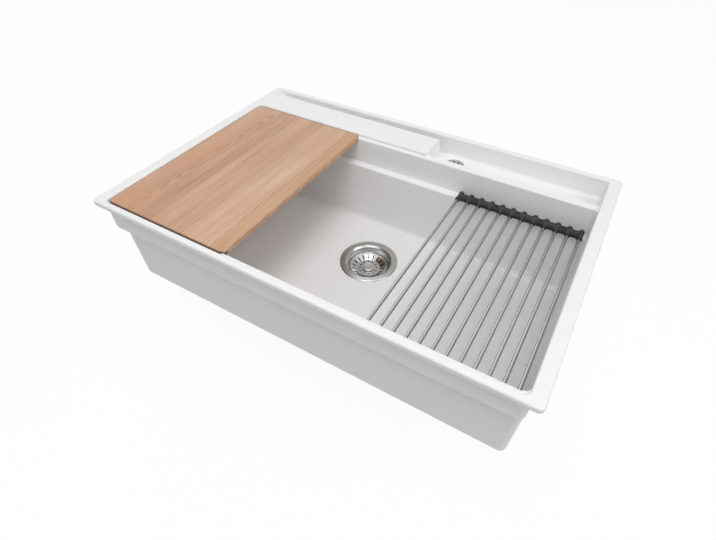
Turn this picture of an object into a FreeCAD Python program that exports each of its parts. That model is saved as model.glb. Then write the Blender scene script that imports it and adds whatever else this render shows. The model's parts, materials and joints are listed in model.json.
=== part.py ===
import FreeCAD, Part
import math
import os

os.makedirs("parts", exist_ok=True)

# Drop-in workstation sink in cast granite composite, with its waste, its overflow,
# a sliding cutting board and a roll-up drying mat.
# Millimetres, +Z up, +Y towards the wall, +X to the right of somebody at the sink.
# The origin is the middle of the cut-out at the worktop's surface, where the rim sits.

# Rim and overall plan
SINK_WIDTH = 838.0
SINK_LENGTH = 568.0
RIM_THICKNESS = 11.0
RIM_CORNER_R = 9.0
RIM_TOP_EDGE_R = 3.5
RIM_UNDER_EDGE = 2.0
SIDE_RIM_WIDTH = 23.0
FRONT_RIM_WIDTH = 12.0
BACK_RIM_WIDTH = 14.5
GUTTER_WIDTH = 20.0
DECK_WIDTH = 70.0
DECK_LENGTH = 442.0
DECK_THICKNESS = 15.0
INNER_EDGE_R = 2.5

# Bowl, depths counted down from the rim's top face
UPPER_LEDGE_DEPTH = 6.0
UPPER_LEDGE_WIDTH = 8.5
LOWER_LEDGE_DEPTH = 62.0
LOWER_LEDGE_WIDTH = 17.5
LEDGE_EDGE_R = 3.0
BOWL_DEPTH = 202.0
FLOOR_FALL = 3.0
BOWL_CORNER_R = 10.0
BOWL_FLOOR_R = 12.0
WALL = 9.0
FLOOR_THICKNESS = 10.0
OUTER_EDGE_R = 12.0
SIDE_DRAFT_DEG = 1.0
UPPER_DRAFT_DEG = 1.0
LOWER_DRAFT_DEG = 2.5

# Caddy tray at the back right, and the gutter behind the tap deck
TRAY_DEPTH = 42.0
TRAY_LIP_WIDTH = 15.0
TRAY_EDGE_R = 7.0
TRAY_TOP_CORNER_R = 6.0
TRAY_DRAFT_DEG = 3.0
DECK_END_DRAFT_DEG = 12.0
GUTTER_START_DEPTH = 24.0
GUTTER_SCOOP_R = 30.0
TAP_KNOCKOUT_R = 17.5
TAP_KNOCKOUT_PITCH = 101.6
TAP_KNOCKOUT_SKIN = 6.0

# Basket strainer waste
DRAIN_TO_BACK = 129.0
FLANGE_R = 63.5
FLANGE_THICKNESS = 1.2
FLANGE_SEAT_CLEARANCE = 1.5
FLANGE_PROUD = 0.4
CUP_SHEET = 1.2
CUP_MOUTH_R = 50.5
CUP_SHOULDER_R = 48.0
CUP_SHOULDER_DEPTH = 3.5
CUP_THROAT_R = 43.5
CUP_THROAT_DEPTH = 13.0
CUP_SEAT_DEPTH = 15.2
CUP_TAIL_R = 39.5
CUP_TAIL_TOP_DEPTH = 18.2
CUP_TAIL_DEPTH = 50.0
CUP_BOTTOM_DEPTH = 60.0
CUP_NECK_R = 21.0
CUP_NECK_LENGTH = 17.0
CUP_NECK_THREAD_R = 23.9
CROSSBAR_WIDTH = 3.0
CROSSBAR_HEIGHT = 5.0
CROSSBAR_HUB_R = 6.5
WASTE_HOLE_CLEARANCE = 2.0
WASTE_BOSS_R = 70.0
WASTE_BOSS_HEIGHT = 8.0
GASKET_THICKNESS = 3.0
UPPER_GASKET_THICKNESS = 1.5
SLIP_RING_THICKNESS = 1.0
GASKET_R = 60.0
GASKET_CLEARANCE = 0.5
LOCK_NUT_R = 52.0
LOCK_NUT_HEIGHT = 13.0
LOCK_NUT_LUGS = 8
LOCK_NUT_LUG_DEPTH = 5.0
LOCK_NUT_LUG_WIDTH = 12.0
THREAD_CLEARANCE = 0.15

# Lift-out basket, with the post that opens and shuts it
BASKET_SHEET = 0.8
BASKET_BEAD_R = 1.2
BASKET_BEAD_SIDES = 6
BASKET_BEAD_GAP = 0.6
BASKET_SEAT_GAP = 0.35
BASKET_STEP_DROP = 1.2
BASKET_MOUTH_R = 37.5
BASKET_FLOOR_R = 26.0
BASKET_DEPTH = 6.5
BASKET_SLOTS = 18
BASKET_SLOT_WIDTH = 2.8
BASKET_SLOT_SHARES = (0.08, 0.86)
BASKET_HOLES = 12
BASKET_HOLE_R = 1.9
BASKET_HOLE_CIRCLE_R = 19.5
BASKET_BUSH_R = 7.0
BASKET_BUSH_HEIGHT = 5.0
POST_R = 3.2
POST_CLEARANCE = 0.08
KNOB_R = 13.0
KNOB_HEIGHT = 4.5
KNOB_CROWN = 1.2
KNOB_CROWN_SHARE = 0.35
KNOB_GAP = 0.6
STOPPER_R = 33.0
STOPPER_THICKNESS = 4.0
STOPPER_WASHER_R = 22.0
STOPPER_WASHER_THICKNESS = 1.0
POST_TAIL = 16.0
STOPPER_SEAT_GAP = 0.3

# Tailpiece below the strainer, with the branch for the overflow pipe
TAIL_WASHER_THICKNESS = 2.5
TAIL_R = 19.0
TAIL_BODY_R = 20.5
TAIL_BORE_R = 17.0
TAIL_COLLAR_R = 23.0
TAIL_COLLAR_HEIGHT = 4.0
TAIL_BODY_LENGTH = 52.0
TAIL_SPIGOT_LENGTH = 30.0
COUPLING_NUT_R = 29.0
COUPLING_NUT_HEIGHT = 20.0
COUPLING_NUT_LIP = 3.0
COUPLING_NUT_FLATS = 8
BRANCH_DROP = 34.0
HOSE_SPIGOT_R = 10.5
HOSE_BORE_R = 7.5
HOSE_SPIGOT_LENGTH = 36.0
HOSE_COLLAR_R = 13.0
HOSE_COLLAR_LENGTH = 4.0

# Overflow and tray drain
OVERFLOW_TO_DECK = 47.0
OVERFLOW_TO_BACK = 32.5
OVERFLOW_COVER_R = 20.0
OVERFLOW_COVER_THICKNESS = 1.5
OVERFLOW_SEAT_CLEARANCE = 0.5
OVERFLOW_HOLE_R = 15.0
OVERFLOW_SLOTS = 6
OVERFLOW_SLOT_R = 2.6
OVERFLOW_SLOT_CIRCLE_R = 11.0
OVERFLOW_SCREW_R = 2.5
OVERFLOW_SCREW_HEAD_R = 5.0
OVERFLOW_SCREW_HEAD_HEIGHT = 1.8
OVERFLOW_SCREW_LENGTH = 26.0
OVERFLOW_SCREW_SLOT = 1.0
ELBOW_FLANGE_R = 21.0
ELBOW_FLANGE_THICKNESS = 4.0
ELBOW_GASKET_THICKNESS = 2.0
ELBOW_R = 14.0
ELBOW_BORE_R = 11.5
ELBOW_DROP = 36.0
ELBOW_BOSS_R = 4.5
ELBOW_RIB = 2.2
ELBOW_RIBS = 3

# Cutting board
BOARD_WIDTH = 281.0
BOARD_THICKNESS = 20.0
BOARD_SIDE_GAP = 2.0
BOARD_END_GAP = 2.0
BOARD_TOP_BELOW_RIM = 0.5
BOARD_SEAT_GAP = 0.3
BOARD_RABBET_GAP = 2.0
BOARD_CORNER_R = 10.0
BOARD_TOP_EDGE_R = 4.0
BOARD_UNDER_EDGE = 2.0

# Roll-up drying mat
RODS = 12
RODS_PER_LINK = 2
ROD_PITCH = 22.1
ROD_R = 3.0
ROD_WALL = 0.6
ROD_END_INSET = 5.0
MAT_RIGHT_GAP = 6.0
MAT_END_GAP = 4.0
MAT_SEAT_GAP = 0.3
SLEEVE_R = 4.5
SLEEVE_LENGTH = 27.0
WEB_THICKNESS = 7.0
WEB_WIDTH = 17.0
KNUCKLE_CLEARANCE = 0.6

# Working values that every piece shares
OVERRUN = 2.0
MATCH = 0.01
FILL_SHARE = 0.5
SOFT_EDGE_SHARE = 0.4

Vec = FreeCAD.Vector
UP = Vec(0, 0, 1)
RIGHT = Vec(1, 0, 0)
BACKWARDS = Vec(0, 1, 0)


def level(depth):
    """Height of a level that lies this far below the rim's top face."""
    return RIM_THICKNESS - depth


def lean(height, degrees):
    """How far a wall with this draft comes in over a height."""
    return height * math.tan(math.radians(degrees))


# Lines of the plan, worked out from the rim inwards
rim_x = SINK_WIDTH / 2
rim_y = SINK_LENGTH / 2
open_x = rim_x - SIDE_RIM_WIDTH
open_front = -rim_y + FRONT_RIM_WIDTH
gutter_back = rim_y - BACK_RIM_WIDTH
gutter_front = gutter_back - GUTTER_WIDTH
deck_front = gutter_front - DECK_WIDTH
deck_end = -open_x + DECK_LENGTH
mid_front = open_front + UPPER_LEDGE_WIDTH
mid_back = deck_front - UPPER_LEDGE_WIDTH
mid_drop = LOWER_LEDGE_DEPTH - UPPER_LEDGE_DEPTH
mid_side_lean = lean(mid_drop, SIDE_DRAFT_DEG)
mid_end_lean = lean(mid_drop, UPPER_DRAFT_DEG)
low_front = mid_front + LOWER_LEDGE_WIDTH
low_back = mid_back - LOWER_LEDGE_WIDTH
low_drop = BOWL_DEPTH - LOWER_LEDGE_DEPTH
tray_front = mid_back + TRAY_LIP_WIDTH
tray_drop = TRAY_DEPTH - UPPER_LEDGE_DEPTH
drain_y = low_back - DRAIN_TO_BACK
drain_z = level(BOWL_DEPTH + FLOOR_FALL)
overflow_x = deck_end + OVERFLOW_TO_DECK
overflow_y = gutter_back - OVERFLOW_TO_BACK
waste_hole_r = CUP_SHOULDER_R + CUP_SHEET + WASTE_HOLE_CLEARANCE


def corners(box, z):
    """Corners of a rectangle at one height."""
    x0, x1, y0, y1 = box
    return [Vec(x0, y0, z), Vec(x1, y0, z), Vec(x1, y1, z), Vec(x0, y1, z)]


def flat_face(points):
    """Flat face inside a closed run of points."""
    return Part.Face(Part.makePolygon(points + points[:1]))


def tapered(top_box, top, low_box, bottom):
    """Solid with flat sides between two rectangles, each at its own height."""
    upper, lower = corners(top_box, top), corners(low_box, bottom)
    faces = [flat_face(upper), flat_face(lower)]
    for i in range(len(upper)):
        faces.append(flat_face([upper[i - 1], upper[i], lower[i], lower[i - 1]]))
    return Part.makeSolid(Part.makeShell(faces))


def flat_edges(shape, z, keep=lambda box: True):
    """Edges of a solid that lie wholly at one height and pass a test."""
    boxes = [(edge, edge.BoundBox) for edge in shape.Edges]
    return [edge for edge, box in boxes
            if abs(box.ZMin - z) < MATCH and abs(box.ZMax - z) < MATCH and keep(box)]


def tub(box, leans, r, top, bottom, round_floor=False):
    """Solid whose four flat sides come in by their own leans on the way down, with rounded edges."""
    x0, x1, y0, y1 = box
    left, right, front, back = leans
    low_box = (x0 + left, x1 - right, y0 + front, y1 - back)
    solid = tapered(box, top, low_box, bottom)
    edges = [edge for edge in solid.Edges if edge.BoundBox.ZLength > (top - bottom) * FILL_SHARE]
    if round_floor:
        edges += flat_edges(solid, bottom)
    return solid.makeFillet(r, edges)


def block(x0, x1, y0, y1, z0, z1):
    """Plain box between two corners."""
    return Part.makeBox(x1 - x0, y1 - y0, z1 - z0, Vec(x0, y0, z0))


def grown(box, margin):
    """The same rectangle, larger on all four sides."""
    x0, x1, y0, y1 = box
    return (x0 - margin, x1 + margin, y0 - margin, y1 + margin)


def extruded(points, y0, y1):
    """Solid between two planes across Y, from the X and Z of each point."""
    return flat_face([Vec(x, y0, z) for x, z in points]).extrude(Vec(0, y1 - y0, 0))


def turned(points, x=0.0, y=0.0, z=0.0):
    """Solid of revolution about an upright axis, from the radius and height of each point."""
    return flat_face([Vec(x + r, y, z + h) for r, h in points]).revolve(Vec(x, y, z), UP, 360)


def disc(r, height, x, y, z):
    """Upright cylinder standing on a height."""
    return Part.makeCylinder(r, height, Vec(x, y, z))


def ring(outer_r, inner_r, height, x, y, z):
    """Upright ring standing on a height."""
    return disc(outer_r, height, x, y, z).cut(disc(inner_r, height + 2 * OVERRUN, x, y, z - OVERRUN))


def around(shapes, count, x, y):
    """Copies of some shapes, evenly spaced round an upright axis."""
    copies = []
    for i in range(count):
        for shape in shapes:
            copy = shape.copy()
            copy.rotate(Vec(x, y, 0), UP, 360.0 * i / count)
            copies.append(copy)
    return copies


def unit(a, b):
    """Direction from one profile point to the next."""
    length = math.dist(a, b)
    return ((b[0] - a[0]) / length, (b[1] - a[1]) / length)


def pressed(path, sheet, x, y, z):
    """Turned sheet metal: the path is its upper side, as radius and depth."""
    lower = []
    for i, point in enumerate(path):
        before = unit(path[i - 1], point) if i else unit(point, path[i + 1])
        after = unit(point, path[i + 1]) if i < len(path) - 1 else before
        half = 1 + before[0] * after[0] + before[1] * after[1]
        lower.append((point[0] + (before[1] + after[1]) / half * sheet,
                      point[1] - (before[0] + after[0]) / half * sheet))
    return turned([(r, -depth) for r, depth in path + lower[::-1]], x, y, z)


def save(shape, node):
    """Write one node, and say how many solids it holds."""
    shape = shape.removeSplitter() if len(shape.Solids) == 1 else shape
    shape.exportStep("parts/" + node + ".step")
    print(node, len(shape.Solids), "solid(s)", round(shape.Volume), "mm3", "valid", shape.isValid())


# Sink casting
def casting_outside():
    """Everything outside the hollows: rim slab, bowl, tray and gutter, each with its draft."""
    rim = tub((-rim_x, rim_x, -rim_y, rim_y), (0, 0, 0, 0), RIM_CORNER_R, RIM_THICKNESS, 0)
    rim = rim.makeFillet(RIM_TOP_EDGE_R, flat_edges(rim, RIM_THICKNESS))
    rim = rim.makeChamfer(RIM_UNDER_EDGE, flat_edges(rim, 0))
    shoulder = LOWER_LEDGE_DEPTH + WALL
    bottom = BOWL_DEPTH + FLOOR_THICKNESS
    side_lean = lean(shoulder - UPPER_LEDGE_DEPTH, SIDE_DRAFT_DEG)
    end_lean = lean(shoulder - UPPER_LEDGE_DEPTH, UPPER_DRAFT_DEG)
    upper = tub(grown((-open_x, open_x, mid_front, mid_back), WALL),
                (side_lean, side_lean, end_lean, end_lean),
                OUTER_EDGE_R, level(UPPER_LEDGE_DEPTH), level(shoulder), True)
    low_x = open_x - mid_side_lean
    side_lean = lean(bottom - LOWER_LEDGE_DEPTH, SIDE_DRAFT_DEG)
    end_lean = lean(bottom - LOWER_LEDGE_DEPTH, LOWER_DRAFT_DEG)
    lower = tub(grown((-low_x, low_x, low_front, low_back), WALL),
                (side_lean, side_lean, end_lean, end_lean),
                OUTER_EDGE_R, level(LOWER_LEDGE_DEPTH), level(bottom), True)
    tray_lean = lean(TRAY_DEPTH, TRAY_DRAFT_DEG)
    tray = tub((deck_end - WALL, open_x + WALL, mid_back - WALL, gutter_back + WALL),
               (0, tray_lean, 0, tray_lean),
               OUTER_EDGE_R, 0, level(TRAY_DEPTH + WALL))
    gutter = extruded([(-open_x - WALL, 0), (-open_x - WALL, level(GUTTER_START_DEPTH + WALL)),
                       (deck_end, level(TRAY_DEPTH + WALL)), (deck_end, 0)],
                      gutter_front - WALL, gutter_back + WALL)
    deck = block(-open_x - WALL, deck_end, mid_back, gutter_front,
                 level(DECK_THICKNESS), RIM_THICKNESS * FILL_SHARE)
    boss_top = FLOOR_THICKNESS * FILL_SHARE + WASTE_BOSS_HEIGHT
    boss = turned([(0, 0), (WASTE_BOSS_R, 0), (WASTE_BOSS_R + WASTE_BOSS_HEIGHT, WASTE_BOSS_HEIGHT),
                   (WASTE_BOSS_R + WASTE_BOSS_HEIGHT, boss_top), (0, boss_top)],
                  0, drain_y, level(bottom) - WASTE_BOSS_HEIGHT)
    return rim.fuse([upper, lower, tray, gutter, deck, boss])


def bowl_hollow():
    """The bowl, in stages that leave the upper and the lower ledge, and a floor that falls to the waste."""
    top = tub((-open_x, open_x, open_front, deck_front), (0, 0, 0, 0),
              BOWL_CORNER_R, RIM_THICKNESS + OVERRUN, level(UPPER_LEDGE_DEPTH))
    middle = tub((-open_x, open_x, mid_front, mid_back),
                 (mid_side_lean, mid_side_lean, mid_end_lean, mid_end_lean),
                 BOWL_CORNER_R, level(UPPER_LEDGE_DEPTH), level(LOWER_LEDGE_DEPTH))
    low_x = open_x - mid_side_lean
    side = lean(low_drop, SIDE_DRAFT_DEG)
    end = lean(low_drop, LOWER_DRAFT_DEG)
    low = tub((-low_x, low_x, low_front, low_back), (side, side, end, end),
              BOWL_FLOOR_R, level(LOWER_LEDGE_DEPTH), level(BOWL_DEPTH), True)
    flat_x = low_x - side - BOWL_FLOOR_R
    flat_front, flat_back = low_front + end + BOWL_FLOOR_R, low_back - end - BOWL_FLOOR_R
    square = FLANGE_R + FLANGE_SEAT_CLEARANCE + BOWL_FLOOR_R
    fall = tapered((-flat_x, flat_x, flat_front, flat_back), level(BOWL_DEPTH),
                   (-square, square, drain_y - square, drain_y + square), drain_z)
    return [top, middle, low, fall]


def tray_hollow():
    """The caddy tray, whose front lip stays at the height of the upper ledge."""
    end_lean = lean(tray_drop, DECK_END_DRAFT_DEG)
    side_lean = lean(tray_drop, TRAY_DRAFT_DEG)
    lip = level(UPPER_LEDGE_DEPTH)
    top_lean = lean(UPPER_LEDGE_DEPTH, DECK_END_DRAFT_DEG)
    low = tub((deck_end + top_lean, open_x, tray_front, gutter_back),
              (end_lean, side_lean, side_lean, side_lean),
              TRAY_EDGE_R, lip, level(TRAY_DEPTH), True)
    over_lean = lean(OVERRUN, DECK_END_DRAFT_DEG)
    inside = deck_front - BOWL_CORNER_R - TRAY_EDGE_R
    top = tub((deck_end - over_lean, open_x, inside, gutter_back), (over_lean + top_lean, 0, 0, 0),
              TRAY_TOP_CORNER_R, RIM_THICKNESS + OVERRUN, lip)
    behind = block(-open_x, rim_x, deck_front - BOWL_CORNER_R, rim_y, lip, RIM_THICKNESS + OVERRUN)
    return [low, top.common(behind)]


def gutter_hollow():
    """The gutter behind the tap deck: a scoop at its left end, and a floor that falls to the tray."""
    scoop_x = -open_x + GUTTER_SCOOP_R
    reach = deck_end + lean(TRAY_DEPTH, DECK_END_DRAFT_DEG) + TRAY_EDGE_R
    run = extruded([(scoop_x, RIM_THICKNESS + OVERRUN), (scoop_x, level(GUTTER_START_DEPTH)),
                    (reach, level(TRAY_DEPTH)), (reach, RIM_THICKNESS + OVERRUN)], gutter_front, gutter_back)
    centre = Vec(scoop_x, gutter_front, level(GUTTER_START_DEPTH) + GUTTER_SCOOP_R)
    scoop = Part.makeCylinder(GUTTER_SCOOP_R, GUTTER_WIDTH, centre, BACKWARDS)
    return [run, scoop]


def ledge_roundings():
    """Strips that round the front edges of the four ledges."""
    low_x = open_x - mid_side_lean
    edges = ((mid_front, UPPER_LEDGE_DEPTH, 1, open_x), (mid_back, UPPER_LEDGE_DEPTH, -1, open_x),
             (low_front, LOWER_LEDGE_DEPTH, 1, low_x), (low_back, LOWER_LEDGE_DEPTH, -1, low_x))
    strips = []
    for y, depth, way, wall_x in edges:
        half = wall_x - BOWL_CORNER_R
        centre_y = y - way * LEDGE_EDGE_R
        centre_z = level(depth) - LEDGE_EDGE_R
        y0, y1 = sorted((centre_y, y + way * OVERRUN))
        strip = block(-half, half, y0, y1, centre_z, level(depth) + OVERRUN)
        rounding = Part.makeCylinder(LEDGE_EDGE_R, 2 * half, Vec(-half, centre_y, centre_z), RIGHT)
        strips.append(strip.cut(rounding))
    return strips


def make_sink_body():
    """The casting, with its holes, seats and softened edges."""
    body = casting_outside()
    body = body.cut(bowl_hollow() + tray_hollow() + gutter_hollow()).removeSplitter()
    low = level(BOWL_DEPTH + FLOOR_THICKNESS + WASTE_BOSS_HEIGHT) - OVERRUN
    seat = FLANGE_THICKNESS + UPPER_GASKET_THICKNESS - FLANGE_PROUD
    tray_floor = level(TRAY_DEPTH)
    holes = [disc(waste_hole_r, drain_z - low + OVERRUN, 0, drain_y, low),
             disc(FLANGE_R + FLANGE_SEAT_CLEARANCE, seat + OVERRUN, 0, drain_y, drain_z - seat),
             disc(OVERFLOW_HOLE_R, WALL + 2 * OVERRUN, overflow_x, overflow_y, tray_floor - WALL - OVERRUN),
             disc(OVERFLOW_COVER_R + OVERFLOW_SEAT_CLEARANCE, OVERFLOW_COVER_THICKNESS + OVERRUN,
                  overflow_x, overflow_y, tray_floor - OVERFLOW_COVER_THICKNESS)]
    for i in (-1, 0, 1):
        x = (deck_end - open_x) / 2 + i * TAP_KNOCKOUT_PITCH
        holes.append(disc(TAP_KNOCKOUT_R, DECK_THICKNESS, x, (deck_front + gutter_front) / 2,
                          level(TAP_KNOCKOUT_SKIN) - DECK_THICKNESS))
    body = body.cut(holes + ledge_roundings()).removeSplitter()

    def at_opening(box):
        return (box.XMin > -open_x - OVERRUN and box.XMax < open_x + OVERRUN
                and box.YMin > open_front - OVERRUN and box.YMax < gutter_back + OVERRUN)

    return body.makeFillet(INNER_EDGE_R, flat_edges(body, RIM_THICKNESS, at_opening))


# Basket strainer waste
def make_strainer_body():
    """Pressed cup with its flange, the threaded neck, and the crossbar that guides the basket's post."""
    path = [(FLANGE_R, 0), (CUP_MOUTH_R, 0), (CUP_SHOULDER_R, CUP_SHOULDER_DEPTH),
            (CUP_THROAT_R, CUP_THROAT_DEPTH), (CUP_THROAT_R, CUP_SEAT_DEPTH),
            (CUP_TAIL_R, CUP_TAIL_TOP_DEPTH), (CUP_TAIL_R, CUP_TAIL_DEPTH), (CUP_NECK_R, CUP_BOTTOM_DEPTH)]
    cup = pressed(path, CUP_SHEET, 0, drain_y, drain_z + FLANGE_PROUD)
    bottom = drain_z - CUP_BOTTOM_DEPTH
    neck = ring(CUP_NECK_THREAD_R, CUP_NECK_R, CUP_NECK_LENGTH, 0, drain_y, bottom - CUP_NECK_LENGTH)
    bar_z = bottom - CUP_SHEET - CROSSBAR_HEIGHT
    bars = [block(-CUP_NECK_R - CUP_SHEET, CUP_NECK_R + CUP_SHEET, drain_y - CROSSBAR_WIDTH / 2,
                  drain_y + CROSSBAR_WIDTH / 2, bar_z, bar_z + CROSSBAR_HEIGHT)]
    bars.append(disc(CROSSBAR_HUB_R, CROSSBAR_HEIGHT, 0, drain_y, bar_z))
    hub_bore = disc(POST_R + POST_CLEARANCE, CROSSBAR_HEIGHT + 2 * OVERRUN, 0, drain_y, bar_z - OVERRUN)
    return cup.fuse([neck] + bars).cut(hub_bore)


def make_lock_nut(z):
    """Round nut with lugs for a wrench, run up the cup's thread."""
    bore = CUP_TAIL_R + CUP_SHEET + THREAD_CLEARANCE
    nut = ring(LOCK_NUT_R, bore, LOCK_NUT_HEIGHT, 0, drain_y, z)
    notch = block(LOCK_NUT_R - LOCK_NUT_LUG_DEPTH, LOCK_NUT_R + OVERRUN, drain_y - LOCK_NUT_LUG_WIDTH / 2,
                  drain_y + LOCK_NUT_LUG_WIDTH / 2, z - OVERRUN, z + LOCK_NUT_HEIGHT - LOCK_NUT_LUG_DEPTH)
    return nut.cut(around([notch], LOCK_NUT_LUGS, 0, drain_y))


def save_waste():
    """The strainer and everything that clamps it to the floor of the bowl."""
    save(make_strainer_body(), "strainer_body")
    seat_z = drain_z + FLANGE_PROUD - FLANGE_THICKNESS - UPPER_GASKET_THICKNESS
    save(ring(FLANGE_R, waste_hole_r, UPPER_GASKET_THICKNESS, 0, drain_y, seat_z), "strainer_upper_seal")
    under = level(BOWL_DEPTH + FLOOR_THICKNESS + WASTE_BOSS_HEIGHT)
    shank_bore = CUP_THROAT_R + CUP_SHEET + GASKET_CLEARANCE
    gasket_z = under - GASKET_THICKNESS
    save(ring(GASKET_R, shank_bore, GASKET_THICKNESS, 0, drain_y, gasket_z), "strainer_gasket")
    slip_z = gasket_z - SLIP_RING_THICKNESS
    save(ring(GASKET_R, shank_bore, SLIP_RING_THICKNESS, 0, drain_y, slip_z), "strainer_slip_ring")
    tail_z = drain_z + FLANGE_PROUD - CUP_TAIL_TOP_DEPTH - CUP_SHEET
    save(make_lock_nut(min(slip_z, tail_z) - LOCK_NUT_HEIGHT), "strainer_lock_nut")


# Lift-out basket
post_bore_r = POST_R + POST_CLEARANCE
bead_r = CUP_THROAT_R - BASKET_BEAD_GAP - BASKET_BEAD_R
seat_lean_x = CUP_THROAT_R - CUP_TAIL_R
seat_lean_z = CUP_TAIL_TOP_DEPTH - CUP_SEAT_DEPTH
seat_slope = math.hypot(seat_lean_x, seat_lean_z)
bead_rise = ((BASKET_BEAD_R + BASKET_SEAT_GAP) * seat_slope
             - (CUP_THROAT_R - bead_r) * seat_lean_z) / seat_lean_x
bead_depth = CUP_SEAT_DEPTH - FLANGE_PROUD - bead_rise
mouth_depth = bead_depth + BASKET_STEP_DROP
basket_floor_depth = mouth_depth + BASKET_DEPTH


def make_basket():
    """Pressed basket with a beaded rim, slots in its wall, holes in its floor and a bush for the post."""
    path = [(bead_r, bead_depth), (BASKET_MOUTH_R, mouth_depth), (BASKET_FLOOR_R, basket_floor_depth),
            (post_bore_r, basket_floor_depth)]
    shell = pressed(path, BASKET_SHEET, 0, drain_y, drain_z)
    bead_angles = [2 * math.pi * i / BASKET_BEAD_SIDES for i in range(BASKET_BEAD_SIDES)]
    bead = turned([(bead_r + BASKET_BEAD_R * math.cos(angle), BASKET_BEAD_R * math.sin(angle))
                   for angle in bead_angles], 0, drain_y, drain_z - bead_depth)
    bush_z = drain_z - basket_floor_depth - BASKET_BUSH_HEIGHT
    bush = disc(BASKET_BUSH_R, BASKET_BUSH_HEIGHT, 0, drain_y, bush_z)
    basket = shell.fuse([bead, bush])
    top, bottom = (drain_z - mouth_depth - BASKET_DEPTH * share for share in BASKET_SLOT_SHARES)
    inside, outside = BASKET_FLOOR_R - OVERRUN, BASKET_MOUTH_R + OVERRUN
    half = BASKET_SLOT_WIDTH / 2
    slot = block(inside, outside, drain_y - half, drain_y + half, bottom, top)
    hole = disc(BASKET_HOLE_R, BASKET_SHEET + 2 * OVERRUN, BASKET_HOLE_CIRCLE_R, drain_y,
                drain_z - basket_floor_depth - BASKET_SHEET - OVERRUN)
    bore = disc(post_bore_r, BASKET_BUSH_HEIGHT + 2 * OVERRUN, 0, drain_y, bush_z - OVERRUN)
    slots = around([slot], BASKET_SLOTS, 0, drain_y)
    return basket.cut(slots + around([hole], BASKET_HOLES, 0, drain_y) + [bore])


def save_basket():
    """The basket, the post with its knob, and the rubber stopper the post carries."""
    save(make_basket(), "strainer_basket")
    slope = (CUP_TAIL_R - CUP_NECK_R) / (CUP_BOTTOM_DEPTH - CUP_TAIL_DEPTH)
    gap = STOPPER_SEAT_GAP * math.hypot(1, slope)
    top = CUP_TAIL_DEPTH - FLANGE_PROUD + (CUP_TAIL_R - gap - STOPPER_R) / slope
    knob_under = basket_floor_depth - KNOB_GAP
    knob = turned([(0, 0), (KNOB_R - KNOB_CROWN, 0), (KNOB_R, KNOB_CROWN), (KNOB_R, KNOB_HEIGHT - KNOB_CROWN),
                   (KNOB_R - KNOB_CROWN, KNOB_HEIGHT - KNOB_CROWN * KNOB_CROWN_SHARE), (0, KNOB_HEIGHT)],
                  0, drain_y, drain_z - knob_under)
    foot = top + STOPPER_THICKNESS + POST_TAIL
    stem = disc(POST_R, foot - knob_under + KNOB_HEIGHT * FILL_SHARE, 0, drain_y, drain_z - foot)
    collar = disc(STOPPER_WASHER_R, STOPPER_WASHER_THICKNESS, 0, drain_y, drain_z - top)
    save(knob.fuse([stem, collar]), "strainer_post")
    stopper = turned([(POST_R, 0), (STOPPER_R - STOPPER_THICKNESS * slope, 0), (STOPPER_R, STOPPER_THICKNESS),
                      (POST_R, STOPPER_THICKNESS)], 0, drain_y, drain_z - top - STOPPER_THICKNESS)
    save(stopper, "strainer_stopper")


# Tailpiece
def hose_spigot(start_r, centre, direction):
    """Spigot for the overflow hose, with a collar where it leaves a round body, and the bore through it."""
    point, way = Vec(*centre), Vec(*direction)
    collar = Part.makeCylinder(HOSE_COLLAR_R, start_r + HOSE_COLLAR_LENGTH, point, way)
    length = start_r + HOSE_COLLAR_LENGTH + HOSE_SPIGOT_LENGTH
    pipe = Part.makeCylinder(HOSE_SPIGOT_R, length, point, way)
    return [collar, pipe], Part.makeCylinder(HOSE_BORE_R, length + OVERRUN, point, way)


def save_tailpiece():
    """The tailpiece with its branch, its washer and the nut that holds it to the strainer's neck."""
    neck_end = drain_z - CUP_BOTTOM_DEPTH - CUP_NECK_LENGTH
    collar_top = neck_end - TAIL_WASHER_THICKNESS
    save(ring(TAIL_COLLAR_R, TAIL_BORE_R, TAIL_WASHER_THICKNESS, 0, drain_y, collar_top), "tail_washer")
    collar_under = collar_top - TAIL_COLLAR_HEIGHT
    body_end = collar_under - TAIL_BODY_LENGTH
    tube_end = body_end - TAIL_SPIGOT_LENGTH
    pieces = [disc(TAIL_COLLAR_R, TAIL_COLLAR_HEIGHT, 0, drain_y, collar_under),
              disc(TAIL_BODY_R, collar_top - body_end, 0, drain_y, body_end)]
    branch, bore = hose_spigot(TAIL_BODY_R, (0, drain_y, collar_under - BRANCH_DROP), (0, 1, 0))
    tube = disc(TAIL_R, collar_top - tube_end, 0, drain_y, tube_end).fuse(pieces + branch)
    hollow = disc(TAIL_BORE_R, collar_top - tube_end + 2 * OVERRUN, 0, drain_y, tube_end - OVERRUN)
    save(tube.cut([hollow, bore]), "tailpiece")
    top = collar_under - COUPLING_NUT_LIP + COUPLING_NUT_HEIGHT
    under = collar_under - COUPLING_NUT_LIP
    thread = CUP_NECK_THREAD_R + THREAD_CLEARANCE
    tail_bore = TAIL_BODY_R + THREAD_CLEARANCE
    nut = turned([(thread, top), (thread, collar_under), (tail_bore, collar_under), (tail_bore, under),
                  (COUPLING_NUT_R, under), (COUPLING_NUT_R, top)], 0, drain_y)
    across = COUPLING_NUT_R * math.cos(math.pi / COUPLING_NUT_FLATS)
    flat = block(across, COUPLING_NUT_R + OVERRUN, drain_y - COUPLING_NUT_R, drain_y + COUPLING_NUT_R,
                 under - OVERRUN, top + OVERRUN)
    save(nut.cut(around([flat], COUPLING_NUT_FLATS, 0, drain_y)), "coupling_nut")


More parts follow.
